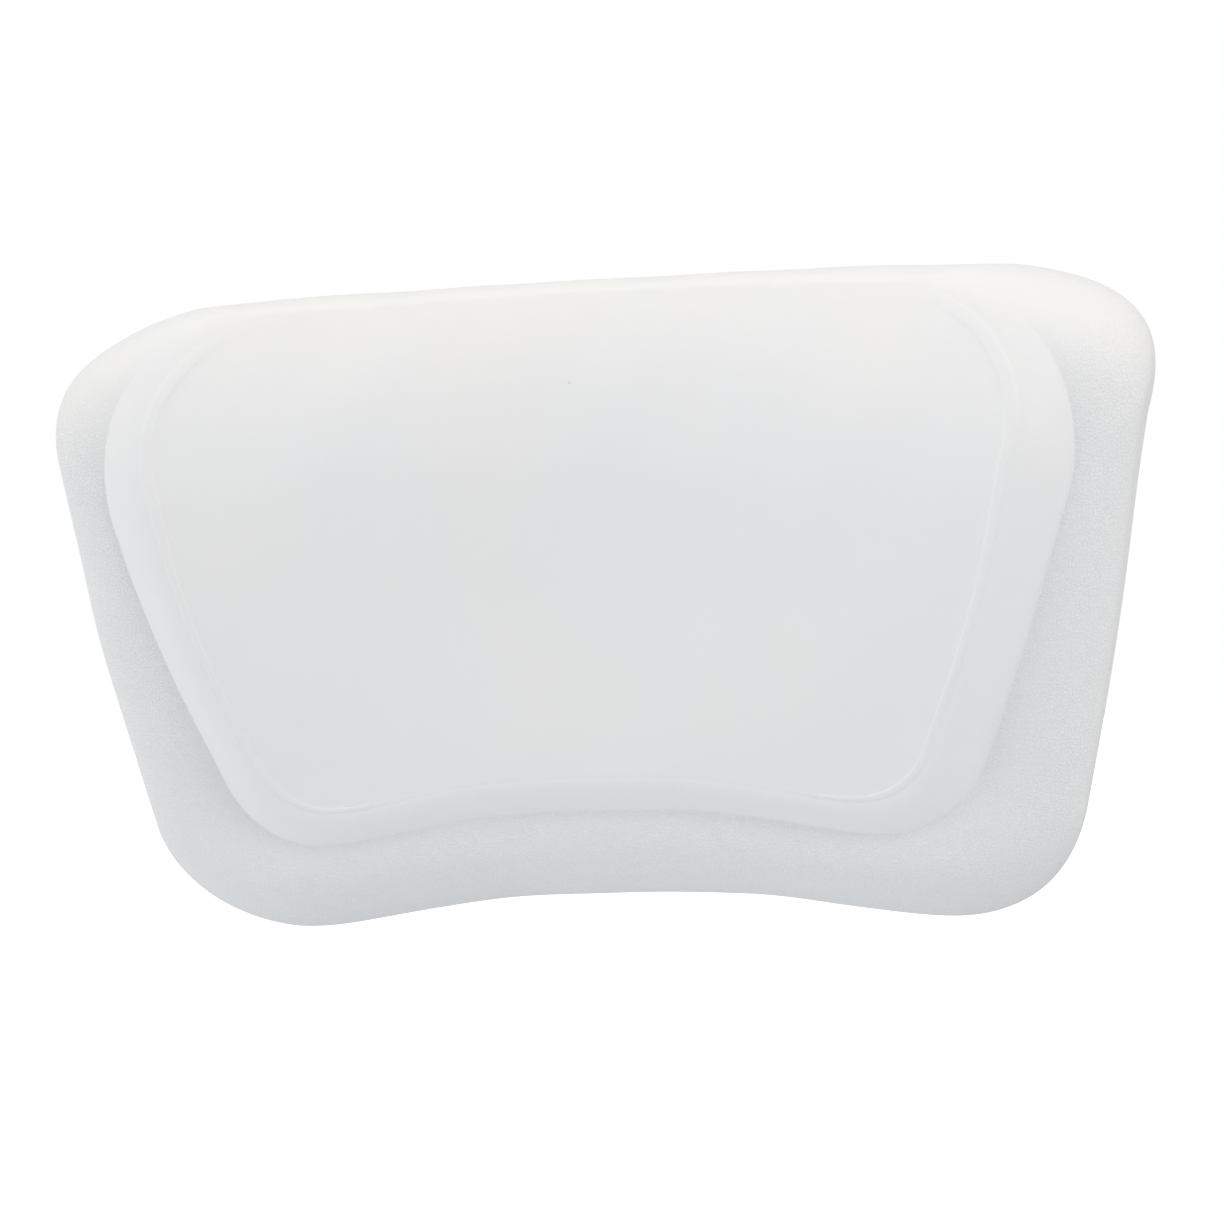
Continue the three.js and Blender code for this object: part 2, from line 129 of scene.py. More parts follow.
photoCamera = {
    "azimuth": 13.8,
    "elevation": 0.06,
    "roll": -2.0,
    "distance": 1.045,
    "target": (0, -0.041, 0.001),
    "optics": {
        "lens": 114.3,
        "sensor_width": 36,
        "shift_x": 0.0029,
        "shift_y": 0.0008,
        "clip_start": 0.05,
        "clip_end": 60,
    },
}


def placeCamera(values):
    azimuth, elevation, roll = (math.radians(values[key]) for key in ("azimuth", "elevation", "roll"))
    back = Vector((
        math.sin(azimuth) * math.cos(elevation),
        -math.cos(azimuth) * math.cos(elevation),
        math.sin(elevation),
    ))
    level = Vector((math.cos(azimuth), math.sin(azimuth), 0))
    upward = back.cross(level)
    right = level * math.cos(roll) + upward * math.sin(roll)
    up = upward * math.cos(roll) - level * math.sin(roll)
    bpy.ops.object.camera_add()
    camera = bpy.context.object
    camera.name = "photoCamera"
    turn = Matrix((right, up, back)).transposed().to_4x4()
    camera.matrix_world = Matrix.Translation(Vector(values["target"]) + back * values["distance"]) @ turn
    for key, value in values["optics"].items():
        setattr(camera.data, key, value)
    bpy.context.scene.camera = camera


placeCamera(photoCamera)
print("camera placed")


# Node groups

def newGroup(name, inputs, outputs):
    group = bpy.data.node_groups.new(name, "ShaderNodeTree")
    for sockets, way in ((inputs, "INPUT"), (outputs, "OUTPUT")):
        for label, kind in sockets.items():
            group.interface.new_socket(name=label, in_out=way, socket_type="NodeSocket" + kind)
    source = group.nodes.new("NodeGroupInput")
    result = group.nodes.new("NodeGroupOutput")
    return group, [source.outputs[label] for label in inputs], result


def setInputs(tree, node, values):
    # a value that comes out of another node is linked
    for key, value in values.items():
        if isinstance(value, bpy.types.NodeSocket):
            tree.links.new(value, node.inputs[key])
        else:
            node.inputs[key].default_value = value


def addNode(tree, kind, settings=None, values=None):
    node = tree.nodes.new(kind)
    for key, value in (settings or {}).items():
        setattr(node, key, value)
    setInputs(tree, node, values or {})
    return node


def addMath(tree, operation, *given, kind="ShaderNodeMath", output=0):
    return addNode(tree, kind, {"operation": operation}, dict(enumerate(given))).outputs[output]


def addVectorMath(tree, operation, *given, output=0):
    return addMath(tree, operation, *given, kind="ShaderNodeVectorMath", output=output)


def addRange(tree, value, fromMin, fromMax, toMin, toMax, smooth=False):
    settings = {"interpolation_type": "SMOOTHSTEP" if smooth else "LINEAR"}
    values = {"Value": value, "From Min": fromMin, "From Max": fromMax, "To Min": toMin, "To Max": toMax}
    return addNode(tree, "ShaderNodeMapRange", settings, values).outputs[0]


def addMix(tree, factor, first, second):
    first, second = ((*given, 1) if isinstance(given, tuple) else given for given in (first, second))
    values = {0: factor, 6: first, 7: second}
    return addNode(tree, "ShaderNodeMix", {"data_type": "RGBA"}, values).outputs[2]


def addNoise(tree, vector, values, output=0):
    return addNode(tree, "ShaderNodeTexNoise", values={"Vector": vector, **values}).outputs[output]


def addMixShader(tree, factor, first, second):
    return addNode(tree, "ShaderNodeMixShader", values={0: factor, 1: first, 2: second}).outputs[0]


pebbleShape = {
    "drift": {"Scale": 420, "Detail": 2},
    "randomness": 0.95,
    "creaseWidth": 0.16,
    "domeReach": 0.75,
    "domeShare": 0.45,
}


def makePebbleGrain(values):
    # rounded pebbles parted by creases, as in the leather grain of a foam mould
    inputs = {"Vector": "Vector", "Scale": "Float", "Wander": "Float"}
    outputs = {"Height": "Float", "Crease": "Float"}
    group, (place, scale, wander), result = newGroup("pebbleGrain", inputs, outputs)
    noise = addNoise(group, place, values["drift"], "Color")
    drift = addVectorMath(group, "SUBTRACT", noise, (0.5, 0.5, 0.5))
    spread = addNode(group, "ShaderNodeCombineXYZ", values={axis: wander for axis in range(3)}).outputs[0]
    moved = addVectorMath(group, "MULTIPLY_ADD", drift, spread, place)
    texture = {"Vector": moved, "Scale": scale, "Randomness": values["randomness"]}
    cells = addNode(group, "ShaderNodeTexVoronoi", {"feature": "DISTANCE_TO_EDGE"}, texture)
    domes = addNode(group, "ShaderNodeTexVoronoi", {"feature": "F1"}, texture)
    edge = addRange(group, cells.outputs["Distance"], 0, values["creaseWidth"], 0, 1, smooth=True)
    dome = addRange(group, domes.outputs["Distance"], 0, values["domeReach"], 1, 0)
    domeShare = values["domeShare"]
    flat = addMath(group, "MULTIPLY", edge, 1 - domeShare)
    height = addMath(group, "MULTIPLY_ADD", dome, domeShare, flat)
    setInputs(group, result, {"Height": height, "Crease": addMath(group, "SUBTRACT", 1, edge)})
    return group


cloudShape = {"noise": {"Roughness": 0.55}, "contrast": (0.3, 0.7)}


def makeSoftCloud(values):
    # slow drift of a colour or a sheen over a moulding
    inputs = {"Vector": "Vector", "Scale": "Float", "Detail": "Float"}
    group, (place, scale, detail), result = newGroup("softCloud", inputs, {"Cloud": "Float"})
    noise = addNoise(group, place, {"Scale": scale, "Detail": detail, **values["noise"]})
    cloud = addRange(group, noise, *values["contrast"], 0, 1, smooth=True)
    setInputs(group, result, {"Cloud": cloud})
    return group


pinholeRarity = 0.86


def makePinholes(rarity):
    # sparse pinholes where a bubble met the mould
    inputs = {"Vector": "Vector", "Scale": "Float", "Size": "Float"}
    group, (place, scale, size), result = newGroup("pinholes", inputs, {"Mask": "Float"})
    cells = addNode(group, "ShaderNodeTexVoronoi", {"feature": "F1"}, {"Vector": place, "Scale": scale})
    picked = addNode(group, "ShaderNodeSeparateColor", values={0: cells.outputs["Color"]}).outputs[0]
    near = addMath(group, "LESS_THAN", cells.outputs["Distance"], size)
    chosen = addMath(group, "GREATER_THAN", picked, rarity)
    setInputs(group, result, {"Mask": addMath(group, "MULTIPLY", near, chosen)})
    return group


pebbleGrain = makePebbleGrain(pebbleShape)
softCloud = makeSoftCloud(cloudShape)
pinholes = makePinholes(pinholeRarity)
print("node groups made")


def placeGroup(tree, group, vector, values):
    return addNode(tree, "ShaderNodeGroup", {"node_tree": group}, {"Vector": vector, **values})


def newMaterial(name):
    material = bpy.data.materials.new(name)
    material.use_nodes = True
    tree = material.node_tree
    shader = tree.nodes["Principled BSDF"]
    place = addNode(tree, "ShaderNodeTexCoord").outputs["Object"]
    return material, tree, shader, place


def addBump(tree, height, distance):
    values = {"Strength": 1, "Distance": distance, "Height": height}
    return addNode(tree, "ShaderNodeBump", values=values).outputs[0]


# Finishes

skinFinish = {
    "warmWhite": (0.905, 0.9, 0.885),
    "coolWhite": (0.885, 0.892, 0.895),
    "mottleShade": (0.87, 0.868, 0.86),
    "mottleMix": 0.25,
    # painted shade: the grain's creases are coloured darker
    "paintedCreaseShade": (0.8, 0.8, 0.79),
    "paintedCreaseShadeMix": 0.2,
    "creaseDulling": 0.25,
    # painted shade: the pinholes are coloured dark
    "paintedPinholeShade": (0.6, 0.58, 0.54),
    "paintedPinholeShadeMix": 0.4,
    "pinholeDepth": 1.2,
    "cloud": {"Scale": 14, "Detail": 3},
    "mottle": {"Scale": 160, "Detail": 4},
    "pinholes": {"Scale": 75, "Size": 0.028},
    "pebbles": {"Scale": 1050, "Wander": 0.0005},
    "pebbleHeight": 0.00011,
    "micro": {"Scale": 3200, "Detail": 3},
    "microHeight": 0.1,
    "roughness": (0.44, 0.56),
    "specular": 0.42,
}


def makeSkinMaterial(values):
    material, tree, shader, place = newMaterial("grainedWhiteSkin")
    mask = addNode(tree, "ShaderNodeAttribute", {"attribute_name": "grain"}).outputs["Fac"]
    pebbles = placeGroup(tree, pebbleGrain, place, values["pebbles"])
    cloud = placeGroup(tree, softCloud, place, values["cloud"]).outputs[0]
    mottle = placeGroup(tree, softCloud, place, values["mottle"]).outputs[0]
    holes = placeGroup(tree, pinholes, place, values["pinholes"]).outputs[0]
    micro = addNoise(tree, place, values["micro"])
    tint = addMix(tree, cloud, values["warmWhite"], values["coolWhite"])
    mottled = addMath(tree, "MULTIPLY", mottle, values["mottleMix"])
    speckled = addMix(tree, mottled, tint, values["mottleShade"])
    # painted shade in the grain's creases; the same mask also dulls the roughness there
    crease = addMath(tree, "MULTIPLY", pebbles.outputs["Crease"], mask)
    creased = addMath(tree, "MULTIPLY", crease, values["paintedCreaseShadeMix"])
    shaded = addMix(tree, creased, speckled, values["paintedCreaseShade"])
    # painted shade inside the pinholes
    pitted = addMath(tree, "MULTIPLY", holes, values["paintedPinholeShadeMix"])
    sheen = addRange(tree, mottle, 0, 1, *values["roughness"])
    grainHeight = addMath(tree, "MULTIPLY", pebbles.outputs["Height"], mask)
    withMicro = addMath(tree, "MULTIPLY_ADD", micro, values["microHeight"], grainHeight)
    height = addMath(tree, "MULTIPLY_ADD", holes, -values["pinholeDepth"], withMicro)
    setInputs(tree, shader, {
        "Base Color": addMix(tree, pitted, shaded, values["paintedPinholeShade"]),
        "Roughness": addMath(tree, "MULTIPLY_ADD", creased, values["creaseDulling"], sheen),
        "Specular IOR Level": values["specular"],
        "Normal": addBump(tree, height, values["pebbleHeight"]),
    })
    return material


foamFinish = {
    "light": (0.86, 0.83, 0.74),
    "middle": (0.83, 0.8, 0.72),
    # painted shade in the foam's cell pits
    "dark": (0.7, 0.66, 0.56),
    "cloud": {"Scale": 45, "Detail": 4},
    "cells": {"Scale": 2200, "Wander": 0.0002},
    "cellDepth": 0.00025,
    "roughness": (0.88, 0.98),
    "specular": 0.2,
}


def makeFoamMaterial(values):
    material, tree, shader, place = newMaterial("cellularFoam")
    cells = placeGroup(tree, pebbleGrain, place, values["cells"]).outputs["Height"]
    cloud = placeGroup(tree, softCloud, place, values["cloud"]).outputs[0]
    tone = addMix(tree, cloud, values["light"], values["middle"])
    setInputs(tree, shader, {
        # painted shade: the cell pits are coloured dark
        "Base Color": addMix(tree, cells, tone, values["dark"]),
        "Roughness": addRange(tree, cloud, 0, 1, *values["roughness"]),
        "Specular IOR Level": values["specular"],
        "Normal": addBump(tree, addMath(tree, "SUBTRACT", 1, cells), values["cellDepth"]),
    })
    return material


insertFinish = {
    "light": (0.84, 0.845, 0.83),
    "dark": (0.79, 0.8, 0.79),
    "roughness": (0.42, 0.52),
    "flowStretch": (1, 1, 0.35),
    "streaks": {"Scale": 60, "Detail": 4},
    "spark": {"Scale": 2600, "Detail": 4, "Roughness": 0.6},
    "sparkHeight": 0.00006,
    "sparkDulling": 0.12,
}
studFinish = insertFinish | {
    "light": (0.88, 0.88, 0.865),
    "dark": (0.84, 0.845, 0.835),
    "roughness": (0.2, 0.28),
    "streaks": {"Scale": 120, "Detail": 4},
    "spark": {"Scale": 1500, "Detail": 4, "Roughness": 0.6},
    "sparkHeight": 0.00001,
}


def makePlasticMaterial(name, values):
    # faint flow streaks, and the texture that spark erosion leaves in a mould
    material, tree, shader, place = newMaterial(name)
    flow = addNode(tree, "ShaderNodeMapping", values={"Vector": place, "Scale": values["flowStretch"]})
    streaks = placeGroup(tree, softCloud, flow.outputs[0], values["streaks"]).outputs[0]
    spark = addNoise(tree, place, values["spark"])
    sheen = addRange(tree, streaks, 0, 1, *values["roughness"])
    setInputs(tree, shader, {
        "Base Color": addMix(tree, streaks, values["light"], values["dark"]),
        "Roughness": addMath(tree, "MULTIPLY_ADD", spark, values["sparkDulling"], sheen),
        "Normal": addBump(tree, spark, values["sparkHeight"]),
    })
    return material


vinylFinish = {
    "light": (0.9, 0.915, 0.92),
    "dark": (0.85, 0.875, 0.885),
    "roughness": (0.14, 0.26),
    "refraction": 1.53,
    "clearness": 0.35,
    "cloud": {"Scale": 110, "Detail": 3},
    "ripple": {"Scale": 260, "Detail": 2},
    "rippleHeight": 0.00012,
}


def makeVinylMaterial(values):
    material, tree, shader, place = newMaterial("milkyVinyl")
    cloud = placeGroup(tree, softCloud, place, values["cloud"]).outputs[0]
    ripple = addNoise(tree, place, values["ripple"])
    setInputs(tree, shader, {
        "Base Color": addMix(tree, cloud, values["light"], values["dark"]),
        "Roughness": addRange(tree, cloud, 0, 1, *values["roughness"]),
        "IOR": values["refraction"],
        "Transmission Weight": values["clearness"],
        "Normal": addBump(tree, ripple, values["rippleHeight"]),
    })
    return material


skinMaterial = makeSkinMaterial(skinFinish)
foamMaterial = makeFoamMaterial(foamFinish)
insertMaterial = makePlasticMaterial("matteInsertPlastic", insertFinish)
studMaterial = makePlasticMaterial("glossyStudPlastic", studFinish)
vinylMaterial = makeVinylMaterial(vinylFinish)
print("materials made:", len(bpy.data.materials))


# The moulding: rings of points round its outline, from the flat back over the rim to the head hollow

moulding = {
    # outlines: half widths where the sides' lines meet top and bottom, top, bottom, corner radii, bow
    "body": (156.0, 121.3, 89.4, 83.0, 34.4, 38.5, 1.0),
    "pad": (151.4, 97.3, 89.4, 59.1, 47.5, 28.2, 1.0),
    "bead": (132.8, 86.7, 83.9, 49.8, 36.2, 20.0, 2.1),
    "bottomArch": 7.7,
    "archShare": 1.55,
    "topCrown": 1.5,
    "edgeDepth": {"top": 23.6, "sideTop": 55.4, "sideBottom": 38.4, "bottom": 12.8},
    "backInset": {"top": 26.0, "side": 9.7, "bottom": 7.0},
    "topCorner": {  # bulges: place along the corner, spread, height
        "depth": -15.2,
        "bulges": ((0.36, 0.24, 2.4), (0.88, 0.24, -1.0), (1.16, 0.16, 0.9), (-0.04, 0.2, -0.9)),
    },
    "lowCorner": {"depth": -4.4, "bulges": ((0.5, 0.45, 0.5),)},
    "cornerReach": (0.5, 0.45),
    "runPast": (0.6, 0.75),
    "frontLow": 56.7,
    "frontHead": 70.2,
    "headLevel": 30.4,
    "topRoll": 16.0,
    "hollowDepth": 6.6,
    "hollowLevel": 11.0,
    "hollowReach": {"side": 98, "up": 72, "down": 54},
    "shoulderDrop": {"side": 7.8, "bottom": 3.7},
    "borderPower": 1.8,
    "stepHeight": {"side": 2.2, "bottom": 1.1},
    "stepFade": (0.1, 0.46),
    "rollFade": (0.1, 0.62),
    "rimCrown": {"side": 1.0, "bottom": 0.5},
    "ledge": 1.3,
    "filletReach": 0.8,
    "shoulderReach": 1.0,
    "beadWidth": {"top": 5.0, "side": 2.4, "bottom": 2.2},
    "beadProud": 0.34,
    "beadFade": {"low": (52, 70), "leastLow": 0.12, "high": (0.35, 0.92)},
    "beadSwell": 0.5,
    "partingLine": {"share": 0.315, "height": 0.28},
    "flatMargin": 1.2,
    "rollPull": 0.6,
    "edgePull": 0.5,
    "padCrossing": (0.12, 0.85),
    "stepOfRoll": 0.08,
    "rimFullness": 2.2,
    "backFullness": 1.8,
    "standOff": 11.0,
    "skin": 2.0,
    "gap": 0.3,
    "steps": (60, 36, 70, 48, 60),
    "calmBack": 0.1,
    "wave": 0.12,
    "dimples": (11.3, 0.7, 9.1, 1.9),
    "slantWaves": ((0.6, 5.7, -7.9, 0.4), (0.5, 23.0, 17.0, 0)),
}
leather = {  # how strong the grain is on each part, and how much of it the rolled top loses
    "back": 0.75,
    "step": (0.8, 0.15),
    "border": 0.12,
    "front": 0.08,
    "lost": {"back": 0.8, "rim": (0.75, 0.85), "step": 0.8},
}
ringShares = {
    "back": (0, 0.03, 0.07, 0.12, 0.18, 0.25, 0.3, 0.315, 0.33, 0.38, 0.46, 0.54, 0.62, 0.7, 0.78, 0.86,
             0.94),
    "rim": (0, 0.06, 0.12, 0.19, 0.26, 0.33, 0.4, 0.47, 0.54, 0.61, 0.68, 0.75, 0.82, 0.88, 0.93, 0.97, 1),
    "step": (0.1, 0.2, 0.32, 0.44, 0.56, 0.68, 0.8, 0.9, 1),
    "border": (0.06, 0.13, 0.21, 0.3, 0.4, 0.5, 0.6, 0.7, 0.8, 0.88, 0.95, 1),
    "hollow": (0.015, 0.035, 0.06, 0.09, 0.125, 0.16, 0.2, 0.24, 0.285, 0.33, 0.375, 0.42, 0.47, 0.52, 0.57,
               0.62, 0.67, 0.72, 0.77, 0.81, 0.85, 0.89, 0.92, 0.95, 0.98),
}
bandProfile = {  # share of the bead's width: share of its height
    0.08: 0.2, 0.17: 0.7, 0.26: 0.95, 0.36: 1, 0.5: 0.9, 0.64: 1, 0.74: 0.95, 0.83: 0.7, 0.92: 0.2, 1: 0,
}
innerRings = {
    "back": (0, 0.25, 0.54, 0.78),
    "rim": (0, 0.26, 0.47, 0.68, 0.88),
    "step": (0.56,),
    "border": (0.3, 0.6, 0.88),
    "hollow": ringShares["hollow"][2::3],
}


def smoothStep(share):
    return share * share * (3 - 2 * share)


def outlineOf(size, values):
    topHalf, bottomHalf, top, bottom, topRadius, bottomRadius, sideBow = size
    lean = math.atan2(topHalf - bottomHalf, top + bottom)
    bottomRun = bottomRadius / math.tan(math.acos(-math.sin(lean)) / 2)
    topRun = topRadius / math.tan(math.acos(math.sin(lean)) / 2)
    bottomCentre = np.array([bottomHalf - bottomRun, bottomRadius - bottom])
    topCentre = np.array([topHalf - topRun, top - topRadius])
    sideOut = np.array([math.cos(lean), -math.sin(lean)])
    sideFoot = bottomCentre + sideOut * bottomRadius
    sideHead = topCentre + sideOut * topRadius
    shares = [np.arange(count) / count for count in values["steps"]]
    shares[4] = np.append(shares[4], 1.0)
    under, lowTurn, side, highTurn, over = shares

    def arc(centre, radius, angle):
        return centre + radius * np.column_stack([np.cos(angle), np.sin(angle)])

    arch = values["bottomArch"] * (0.5 + 0.5 * np.cos(np.pi * under ** values["archShare"]))
    crown = values["topCrown"] * (0.5 - 0.5 * np.cos(np.pi * over))
    lowAngle = -np.pi / 2 + (np.pi / 2 - lean) * lowTurn
    highAngle = -lean + (np.pi / 2 + lean) * highTurn
    bow = sideBow * np.sin(np.pi * side)[:, None] * sideOut
    at = np.vstack([
        np.column_stack([bottomCentre[0] * under, arch - bottom]),
        arc(bottomCentre, bottomRadius, lowAngle),
        sideFoot + (sideHead - sideFoot) * side[:, None] + bow,
        arc(topCentre, topRadius, highAngle),
        np.column_stack([topCentre[0] * (1 - over), top + crown]),
    ])
    angle = np.concatenate([
        np.full(len(under), -np.pi / 2),
        lowAngle,
        np.full(len(side), -lean),
        highAngle,
        np.full(len(over), np.pi / 2),
    ])
    return at, np.column_stack([np.cos(angle), np.sin(angle)]), shares


def mirrored(values, flip=False):
    back = values[1:-1][::-1]
    return np.concatenate([values, back * [-1, 1] if flip else back])


def shapeShares(shares, values):
    # a run goes from 0 to 1 round its corner, and is far off elsewhere
    under, lowTurn, side, highTurn, over = shares
    highPast, lowPast = values["runPast"]
    none = [np.zeros(len(part)) for part in shares]
    top = np.concatenate([none[0], none[1], none[2], smoothStep(highTurn), np.ones(len(over))])
    bottom = np.concatenate([np.ones(len(under)), 1 - smoothStep(lowTurn), none[2], none[3], none[4]])
    up = np.concatenate([none[0], none[1], side, np.ones(len(highTurn)), np.ones(len(over))])
    highRun = np.concatenate([under - 4, lowTurn - 2, highPast * (side - 1), highTurn, 1 + highPast * over])
    lowRun = np.concatenate([under - 1, lowTurn, 1 + lowPast * side, highTurn + 3, over + 4])
    return [mirrored(part) for part in (top, bottom, up, highRun, lowRun)]


def hill(run, place, spread):
    return np.exp(-((run - place) / spread) ** 2)


def between(ends, share):
    return ends[0] + (ends[1] - ends[0]) * share


def curveAt(share, points):
    rest = 1 - share
    factors = (rest ** 3, 3 * rest ** 2 * share, 3 * rest * share ** 2, share ** 3)
    return sum(factor * point for factor, point in zip(factors, points))


def fadeBetween(value, start, end):
    return smoothStep(np.clip((value - start) / (end - start), 0, 1))


def frontDepth(height, values):
    beadTop, beadBottom = values["bead"][2], values["bead"][3]
    upShare = np.clip((height + beadBottom) / (values["headLevel"] + beadBottom), -0.5, 1)
    rollShare = np.maximum(0, (height - values["headLevel"]) / (beadTop - values["headLevel"]))
    rise = (values["frontHead"] - values["frontLow"]) * np.sin(np.pi / 2 * upShare)
    return values["frontLow"] + rise - values["topRoll"] * rollShare ** 2


def mouldingRings(values):
    edge, outward, shares = outlineOf(values["body"], values)
    pad = mirrored(outlineOf(values["pad"], values)[0], True)
    bead = mirrored(outlineOf(values["bead"], values)[0], True)
    edge, outward = mirrored(edge, True), mirrored(outward, True)
    top, bottom, up, highRun, lowRun = shapeShares(shares, values)
    side = 1 - top - bottom
    noStep = fadeBetween(highRun, *values["stepFade"])
    rolled = fadeBetween(highRun, *values["rollFade"])

    def weigh(topValue, sideValue, bottomValue):
        return topValue * top + sideValue * side + bottomValue * bottom

    def join(at, depth):
        return np.column_stack([at, depth])

    depths, insets = values["edgeDepth"], values["backInset"]
    bulge = 0
    corners = ((highRun, values["topCorner"]), (lowRun, values["lowCorner"]))
    for run, corner in corners:
        for place, spread, height in corner["bulges"]:
            bulge = bulge + height * hill(run, place, spread)
    back = edge - outward * weigh(insets["top"], insets["side"], insets["bottom"])[:, None]
    edge = edge + outward * bulge[:, None]
    sideDepth = depths["sideBottom"] + (depths["sideTop"] - depths["sideBottom"]) * up
    edgeDepth = weigh(depths["top"], sideDepth, depths["bottom"])
    for run, corner in corners:
        edgeDepth = edgeDepth + corner["depth"] * hill(run, *values["cornerReach"])
    beadDepth = frontDepth(bead[:, 1], values)
    drops, steps = values["shoulderDrop"], values["stepHeight"]
    shoulderDepth = frontDepth(pad[:, 1], values) - weigh(0, drops["side"], drops["bottom"])
    stepHeight = (1 - noStep) * (steps["side"] * (1 - bottom) + steps["bottom"] * bottom)
    footDepth = shoulderDepth - stepHeight

    # the thick top rolls over in one curve, without a step
    rollLength = values["bead"][2] - values["headLevel"]
    slope = -2 * values["topRoll"] * np.maximum(0, bead[:, 1] - values["headLevel"]) / rollLength ** 2
    across = edge - bead
    rollStart, rollEnd = join(edge, edgeDepth), join(bead, beadDepth)
    rollFirst = rollStart + join(0 * across, values["edgePull"] * (beadDepth - edgeDepth))
    rollSecond = rollEnd + join(across, slope * across[:, 1]) * values["rollPull"]

    # where on that curve the pad's outline crosses it
    tries = np.linspace(0, 1, 200)
    inwardRun = 3 * (1 - tries) * tries ** 2 * (1 - values["rollPull"]) + tries ** 3
    padRun = ((edge - pad) * outward).sum(axis=1) / (across * outward).sum(axis=1)
    padShare = np.interp(np.clip(padRun, *values["padCrossing"]), inwardRun, tries)

    def blend(sidePoints, beforePad, afterPad=0):
        share = (padShare * beforePad + (1 - padShare) * afterPad)[:, None]
        roll = curveAt(share, (rollStart, rollFirst, rollSecond, rollEnd))
        return sidePoints + (roll - sidePoints) * rolled[:, None]

    rings = []

    def addRing(part, share, points, grain, proud=None):
        rings.append({"part": part, "share": share, "points": points, "grain": grain, "proud": proud})

    # back: flat, then rounded out to the widest line
    lost, parting = leather["lost"], values["partingLine"]
    power = 2 / values["backFullness"]
    addRing("back", -0.02, join(back - outward * values["flatMargin"], 0 * top), leather["back"])
    for share in ringShares["back"]:
        turn = np.pi / 2 * share
        at = back + (edge - back) * math.sin(turn) ** power
        ridge = parting["height"] if share == parting["share"] else 0
        grain = leather["back"] * (1 - lost["back"] * share * rolled)
        addRing("back", share, join(at, edgeDepth * (1 - math.cos(turn) ** power)), grain, ridge)

    # rim: from the widest line to the foot of the step
    power = 2 / values["rimFullness"]
    crown = weigh(0, values["rimCrown"]["side"], values["rimCrown"]["bottom"])
    for share in ringShares["rim"]:
        turn = np.pi / 2 * share
        inRun = 1 - math.cos(turn) ** power
        at = edge + (pad - edge) * inRun
        depth = edgeDepth + (footDepth + crown - edgeDepth) * math.sin(turn) ** power - crown * inRun ** 2
        addRing("rim", share, blend(join(at, depth), share), 1 - between(lost["rim"], share) * rolled)

    # step: a small hollow fillet, a steep wall and a rounded shoulder
    inward = bead - pad
    width = np.linalg.norm(inward, axis=1)
    inward = inward / np.maximum(width, 0.1)[:, None]
    ledge, power = values["ledge"], values["borderPower"]
    riseAngle = np.arctan(power * (beadDepth - shoulderDepth) / np.maximum(width - ledge, ledge))
    fillet, shoulder = values["filletReach"], values["shoulderReach"]
    runs = (0 * width, 0 * width + fillet, ledge - shoulder * np.cos(riseAngle), 0 * width + ledge)
    shoulderRise = stepHeight - shoulder * np.sin(riseAngle) * np.minimum(1, stepHeight)
    rises = (0 * width, 0 * width, shoulderRise, stepHeight)
    stepOfRoll = values["stepOfRoll"]
    for share in ringShares["step"]:
        points = join(pad + inward * curveAt(share, runs)[:, None], footDepth + curveAt(share, rises))
        grain = between(leather["step"], share) * (1 - lost["step"] * rolled)
        addRing("step", share, blend(points, 1, stepOfRoll * share), grain)

    # border: swells from the shoulder up to the bead
    for share in ringShares["border"]:
        run = ledge + (width - ledge) * share
        depth = beadDepth - (beadDepth - shoulderDepth) * (1 - share) ** power
        points = join(pad + inward * run[:, None], depth)
        addRing("border", share, blend(points, 1, between((stepOfRoll, 1), share)), leather["border"])

    # bead: a fine flat-topped band, fading out over the top and under the hollow
    centre = np.array([0, values["hollowLevel"]])
    reach = np.linalg.norm(bead - centre, axis=1)
    widths = values["beadWidth"]
    sideWidth = widths["side"] + (widths["top"] - widths["side"]) * up ** 3
    beadWidth = weigh(widths["top"], sideWidth, widths["bottom"])
    fades = values["beadFade"]
    lowFade = between((fades["leastLow"], 1), fadeBetween(np.abs(bead[:, 0]), *fades["low"]))
    fade = (1 - bottom + bottom * lowFade) * (1 - fadeBetween(highRun, *fades["high"]))
    fade = fade * (1 + values["beadSwell"] * up * (1 - bottom))

    hollowReach = values["hollowReach"]

    def inHollow(inShare, proud):
        outShare = 1 - inShare
        off = (bead - centre) * outShare[:, None]
        upReach = np.where(off[:, 1] > 0, hollowReach["up"], hollowReach["down"])
        dish = np.maximum(0, 1 - (off[:, 0] / hollowReach["side"]) ** 2 - (off[:, 1] / upReach) ** 2)
        at = centre + off
        return join(at, frontDepth(at[:, 1], values) - values["hollowDepth"] * dish ** 2 + proud)

    for share, rise in bandProfile.items():
        points = inHollow(beadWidth * share / reach, values["beadProud"] * rise * fade)
        addRing("bead", share, points, leather["front"])

    # head hollow
    start = beadWidth / reach
    for share in ringShares["hollow"]:
        addRing("hollow", share, inHollow(start + (1 - start) * share, 0), leather["front"])
    return rings


def toFrame(points, values):
    # drawing points (x, up, depth off the flat back) in metres in the frame
    return np.column_stack([points[:, 0], -(points[:, 2] + values["standOff"]), points[:, 1]]) * mm


def loftFaces(ringCount, ringLength, inside=False):
    at = 1 + np.arange(ringCount * ringLength).reshape(ringCount, ringLength)
    after = np.roll(at, -1, axis=1)
    last = ringCount * ringLength + 1
    quads = np.stack([at[:-1], after[:-1], after[1:], at[1:]], axis=-1).reshape(-1, 4)
    back = np.stack([np.zeros(ringLength, int), after[0], at[0]], axis=-1)
    front = np.stack([at[-1], after[-1], np.full(ringLength, last)], axis=-1)
    faces = quads.tolist() + back.tolist() + front.tolist()
    return [face[::-1] for face in faces] if inside else faces


